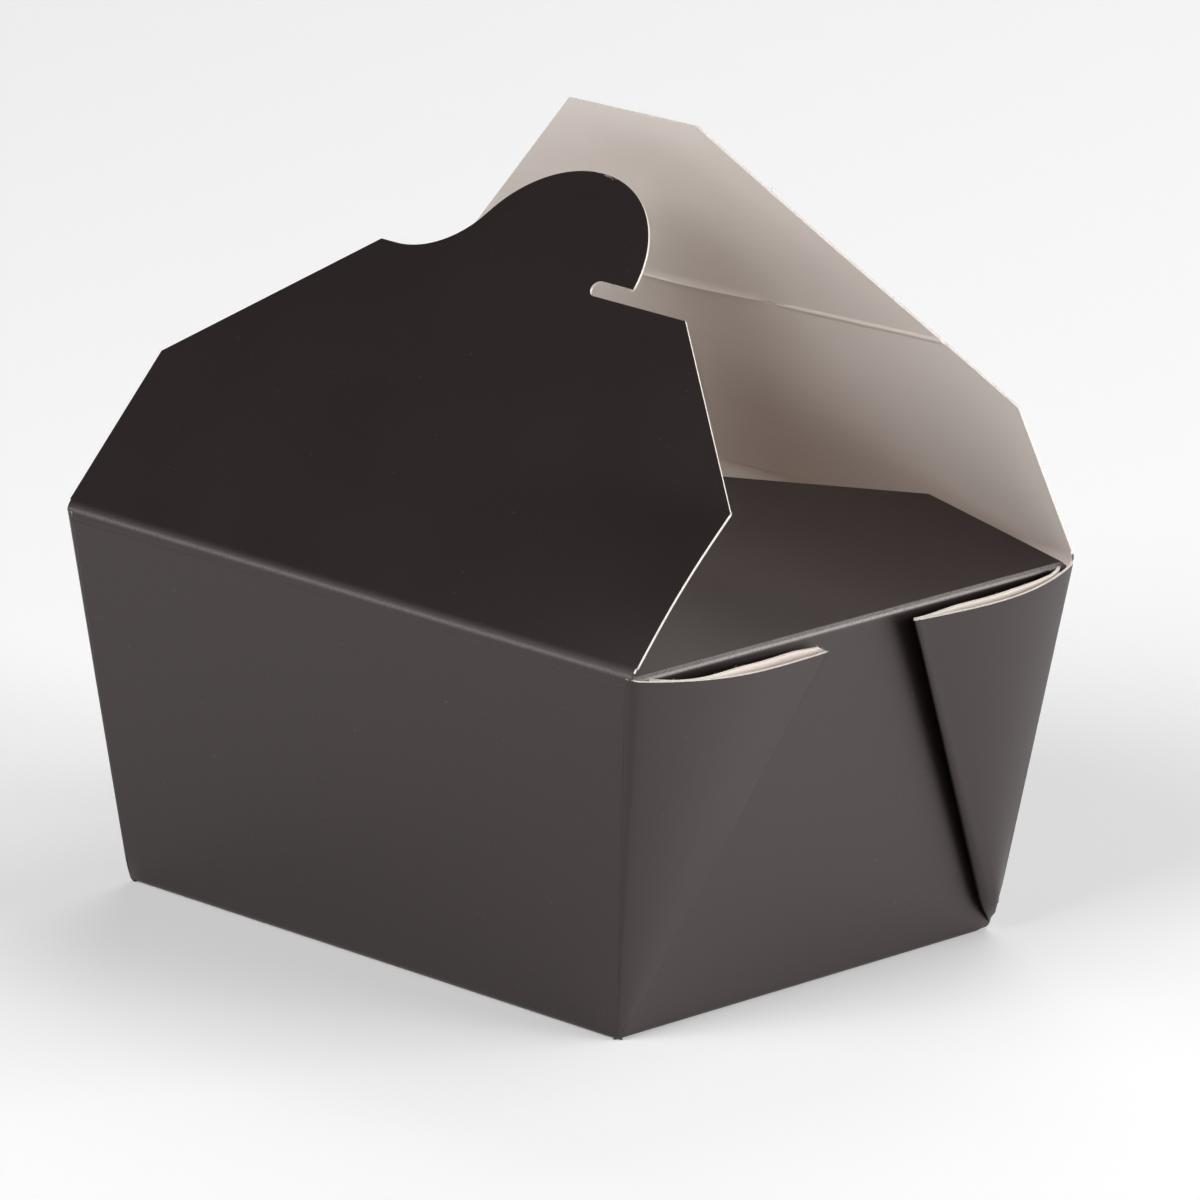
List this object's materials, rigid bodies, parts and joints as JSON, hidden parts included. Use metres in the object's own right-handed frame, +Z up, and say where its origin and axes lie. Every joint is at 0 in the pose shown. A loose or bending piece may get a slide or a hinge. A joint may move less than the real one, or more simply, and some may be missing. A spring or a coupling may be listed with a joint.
{
  "type": "takeaway food box",
  "caption": "Folding takeaway food box of coated board: tapered tray with folded end webs, end flaps, a hooked lid flap and a slit lid flap.",
  "frame": {"origin": "middle of the base, on the surface the box stands on", "axes": "+X along the long walls, +Y from the hooked front flap to the back flap, +Z up"},
  "size_m": [0.1384, 0.1046, 0.1337],
  "materials": {
    "board": "satin"
  },
  "bodies": {
    "tray": {"carton": "board"},
    "front_lid": {"front_flap": "board"},
    "back_lid": {"back_flap": "board"}
  },
  "joints": [
    {"name": "front_crease", "type": "hinge", "parent": "tray", "child": "front_lid", "pos_m": [0, -0.05203, 0.064], "axis": [-1, 0, 0], "range_deg": [-158, 7]},
    {"name": "back_crease", "type": "hinge", "parent": "tray", "child": "back_lid", "pos_m": [0, 0.05203, 0.064], "axis": [1, 0, 0], "range_deg": [-144, 6]}
  ]
}
